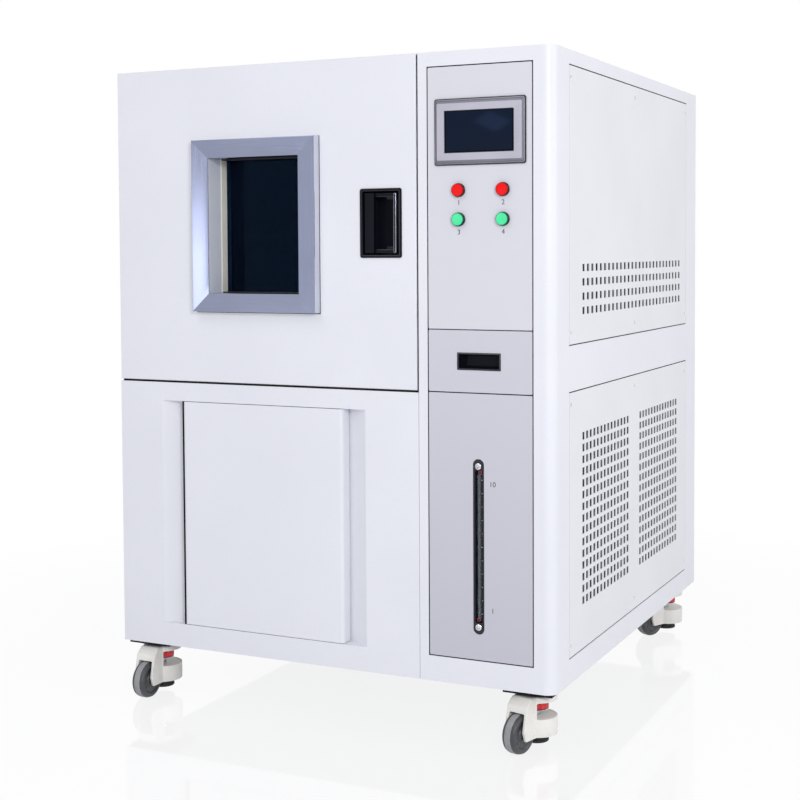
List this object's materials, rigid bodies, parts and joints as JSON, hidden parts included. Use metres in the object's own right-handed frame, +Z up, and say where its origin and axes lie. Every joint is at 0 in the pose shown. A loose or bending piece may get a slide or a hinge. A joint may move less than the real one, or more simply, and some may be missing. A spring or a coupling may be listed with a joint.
{
  "type": "environmental test chamber",
  "caption": "Floor-standing climate test cabinet on levelling casters, with a windowed side-hung door and a control column with a touch screen, buttons and a water drawer.",
  "frame": {"origin": "on the floor below the middle of the whole chamber's bounding box", "axes": "+Z up, -Y the way the door and the controls face, +X to the right of someone facing them"},
  "size_m": [1.103, 1.229, 1.475],
  "materials": {
    "white_powder_coat": "fine-textured powder coat",
    "grey_powder_coat": "fine-textured powder coat",
    "galvanised_frame": "galvanised",
    "stainless": "brushed",
    "zinc_plated": "bright zinc",
    "mineral_wool": "fibrous",
    "silicone_rubber": "matte",
    "grey_rubber": "matte",
    "window_glass": "polished",
    "screen_glass": "polished",
    "black_plastic": "moulded",
    "red_plastic": "moulded",
    "green_plastic": "moulded",
    "silver_plastic": "painted",
    "cream_nylon": "moulded",
    "tank_plastic": "moulded",
    "electrical_plastic": "moulded",
    "aluminium": "mill",
    "compressor_shell": "black enamel"
  },
  "bodies": {
    "cabinet": {"left_side_panel": "white_powder_coat", "roof_panel": "white_powder_coat", "rear_panel": "white_powder_coat", "lower_front_panel": "white_powder_coat", "column_shell": "white_powder_coat", "upper_side_panel": "white_powder_coat", "lower_side_panel": "white_powder_coat", "column_fascias": "grey_powder_coat", "base_frame": "galvanised_frame", "chamber_liner": "stainless", "air_baffle": "stainless", "shelf": "stainless", "cabinet_hinge_leaves": "stainless", "heater": "stainless", "panel_screws": "zinc_plated", "chamber_insulation": "mineral_wool", "touchscreen_glass": "screen_glass", "power_gland": "black_plastic", "button_collars": "black_plastic", "level_gauge": "black_plastic", "caster_plates": "black_plastic", "touchscreen_bezel": "silver_plastic", "water_tank": "tank_plastic", "control_plate": "electrical_plastic", "fan_motor": "aluminium", "evaporator": "aluminium", "condenser": "aluminium", "compressor": "compressor_shell"},
    "door": {"door_shell": "white_powder_coat", "door_insulation": "mineral_wool", "door_inner_panel": "stainless", "door_gasket": "silicone_rubber", "window_frame": "stainless", "window_seal": "silicone_rubber", "window_glass": "window_glass", "handle_housing": "black_plastic", "door_hinge_leaves": "stainless"},
    "handle": {"handle_lever": "black_plastic"},
    "access_door": {"access_door": "white_powder_coat"},
    "drawer": {"drawer_front": "grey_powder_coat", "drawer_tray": "tank_plastic", "drawer_pull": "black_plastic"},
    "red_button_left": {"red_button_left": "red_plastic"},
    "red_button_right": {"red_button_right": "red_plastic"},
    "green_button_left": {"green_button_left": "green_plastic"},
    "green_button_right": {"green_button_right": "green_plastic"},
    "circulation_fan": {"circulation_fan": "aluminium"},
    "condenser_fan": {"condenser_fan": "aluminium"},
    "caster_front_left": {"caster_housing_front_left": "cream_nylon"},
    "wheel_front_left": {"caster_wheel_front_left": "grey_rubber"},
    "foot_front_left": {"levelling_foot_front_left": "black_plastic"},
    "caster_front_right": {"caster_housing_front_right": "cream_nylon"},
    "wheel_front_right": {"caster_wheel_front_right": "grey_rubber"},
    "foot_front_right": {"levelling_foot_front_right": "black_plastic"},
    "caster_rear_left": {"caster_housing_rear_left": "cream_nylon"},
    "wheel_rear_left": {"caster_wheel_rear_left": "grey_rubber"},
    "foot_rear_left": {"levelling_foot_rear_left": "black_plastic"},
    "caster_rear_right": {"caster_housing_rear_right": "cream_nylon"},
    "wheel_rear_right": {"caster_wheel_rear_right": "grey_rubber"},
    "foot_rear_right": {"levelling_foot_rear_right": "black_plastic"}
  },
  "joints": [
    {"name": "door_hinge", "type": "hinge", "parent": "cabinet", "child": "door", "pos_m": [-0.5435, -0.4615, 1.1155], "axis": [0, 0, -1], "range_deg": [0, 120]},
    {"name": "handle_pull", "type": "hinge", "parent": "door", "child": "handle", "pos_m": [0.1305, -0.5585, 1.1155], "axis": [0, 0, -1], "range_deg": [0, 30]},
    {"name": "access_door_hinge", "type": "hinge", "parent": "cabinet", "child": "access_door", "pos_m": [-0.3545, -0.5585, 0.44675], "axis": [0, 0, -1], "range_deg": [0, 110]},
    {"name": "drawer_slide", "type": "slide", "parent": "cabinet", "child": "drawer", "axis": [0, -1, 0], "range_m": [0, 0.22]},
    {"name": "red_button_left_press", "type": "slide", "parent": "cabinet", "child": "red_button_left", "axis": [0, 1, 0], "range_m": [0, 0.002], "stiffness_N_per_m": 400, "springref_m": -0.002},
    {"name": "red_button_right_press", "type": "slide", "parent": "cabinet", "child": "red_button_right", "axis": [0, 1, 0], "range_m": [0, 0.002], "stiffness_N_per_m": 400, "springref_m": -0.002},
    {"name": "green_button_left_press", "type": "slide", "parent": "cabinet", "child": "green_button_left", "axis": [0, 1, 0], "range_m": [0, 0.002], "stiffness_N_per_m": 400, "springref_m": -0.002},
    {"name": "green_button_right_press", "type": "slide", "parent": "cabinet", "child": "green_button_right", "axis": [0, 1, 0], "range_m": [0, 0.002], "stiffness_N_per_m": 400, "springref_m": -0.002},
    {"name": "circulation_fan_spin", "type": "hinge", "parent": "cabinet", "child": "circulation_fan", "pos_m": [-0.1465, 0.2635, 1.2355], "axis": [0, 1, 0], "continuous": true},
    {"name": "condenser_fan_spin", "type": "hinge", "parent": "cabinet", "child": "condenser_fan", "pos_m": [0.3915, 0.0395, 0.343], "axis": [1, 0, 0], "continuous": true},
    {"name": "swivel_front_left", "type": "hinge", "parent": "cabinet", "child": "caster_front_left", "pos_m": [-0.4695, -0.5065, 0.12], "axis": [0, 0, 1], "continuous": true},
    {"name": "roll_front_left", "type": "hinge", "parent": "caster_front_left", "child": "wheel_front_left", "pos_m": [-0.4695, -0.5725, 0.042], "axis": [1, 0, 0], "continuous": true},
    {"name": "level_front_left", "type": "slide", "parent": "caster_front_left", "child": "foot_front_left", "axis": [0, 0, -1], "range_m": [0, 0.012]},
    {"name": "swivel_front_right", "type": "hinge", "parent": "cabinet", "child": "caster_front_right", "pos_m": [0.4875, -0.5065, 0.12], "axis": [0, 0, 1], "continuous": true},
    {"name": "roll_front_right", "type": "hinge", "parent": "caster_front_right", "child": "wheel_front_right", "pos_m": [0.47153, -0.57054, 0.042], "axis": [0.9703, -0.2419, 0], "continuous": true},
    {"name": "level_front_right", "type": "slide", "parent": "caster_front_right", "child": "foot_front_right", "axis": [0, 0, -1], "range_m": [0, 0.012]},
    {"name": "swivel_rear_left", "type": "hinge", "parent": "cabinet", "child": "caster_rear_left", "pos_m": [-0.4695, 0.5205, 0.12], "axis": [0, 0, 1], "continuous": true},
    {"name": "roll_rear_left", "type": "hinge", "parent": "caster_rear_left", "child": "wheel_rear_left", "pos_m": [-0.45578, 0.45594, 0.042], "axis": [0.9781, 0.2079, 0], "continuous": true},
    {"name": "level_rear_left", "type": "slide", "parent": "caster_rear_left", "child": "foot_rear_left", "axis": [0, 0, -1], "range_m": [0, 0.012]},
    {"name": "swivel_rear_right", "type": "hinge", "parent": "cabinet", "child": "caster_rear_right", "pos_m": [0.4875, 0.5205, 0.12], "axis": [0, 0, 1], "continuous": true},
    {"name": "roll_rear_right", "type": "hinge", "parent": "caster_rear_right", "child": "wheel_rear_right", "pos_m": [0.45961, 0.46068, 0.042], "axis": [0.9063, -0.4226, 0], "continuous": true},
    {"name": "level_rear_right", "type": "slide", "parent": "caster_rear_right", "child": "foot_rear_right", "axis": [0, 0, -1], "range_m": [0, 0.012]}
  ]
}
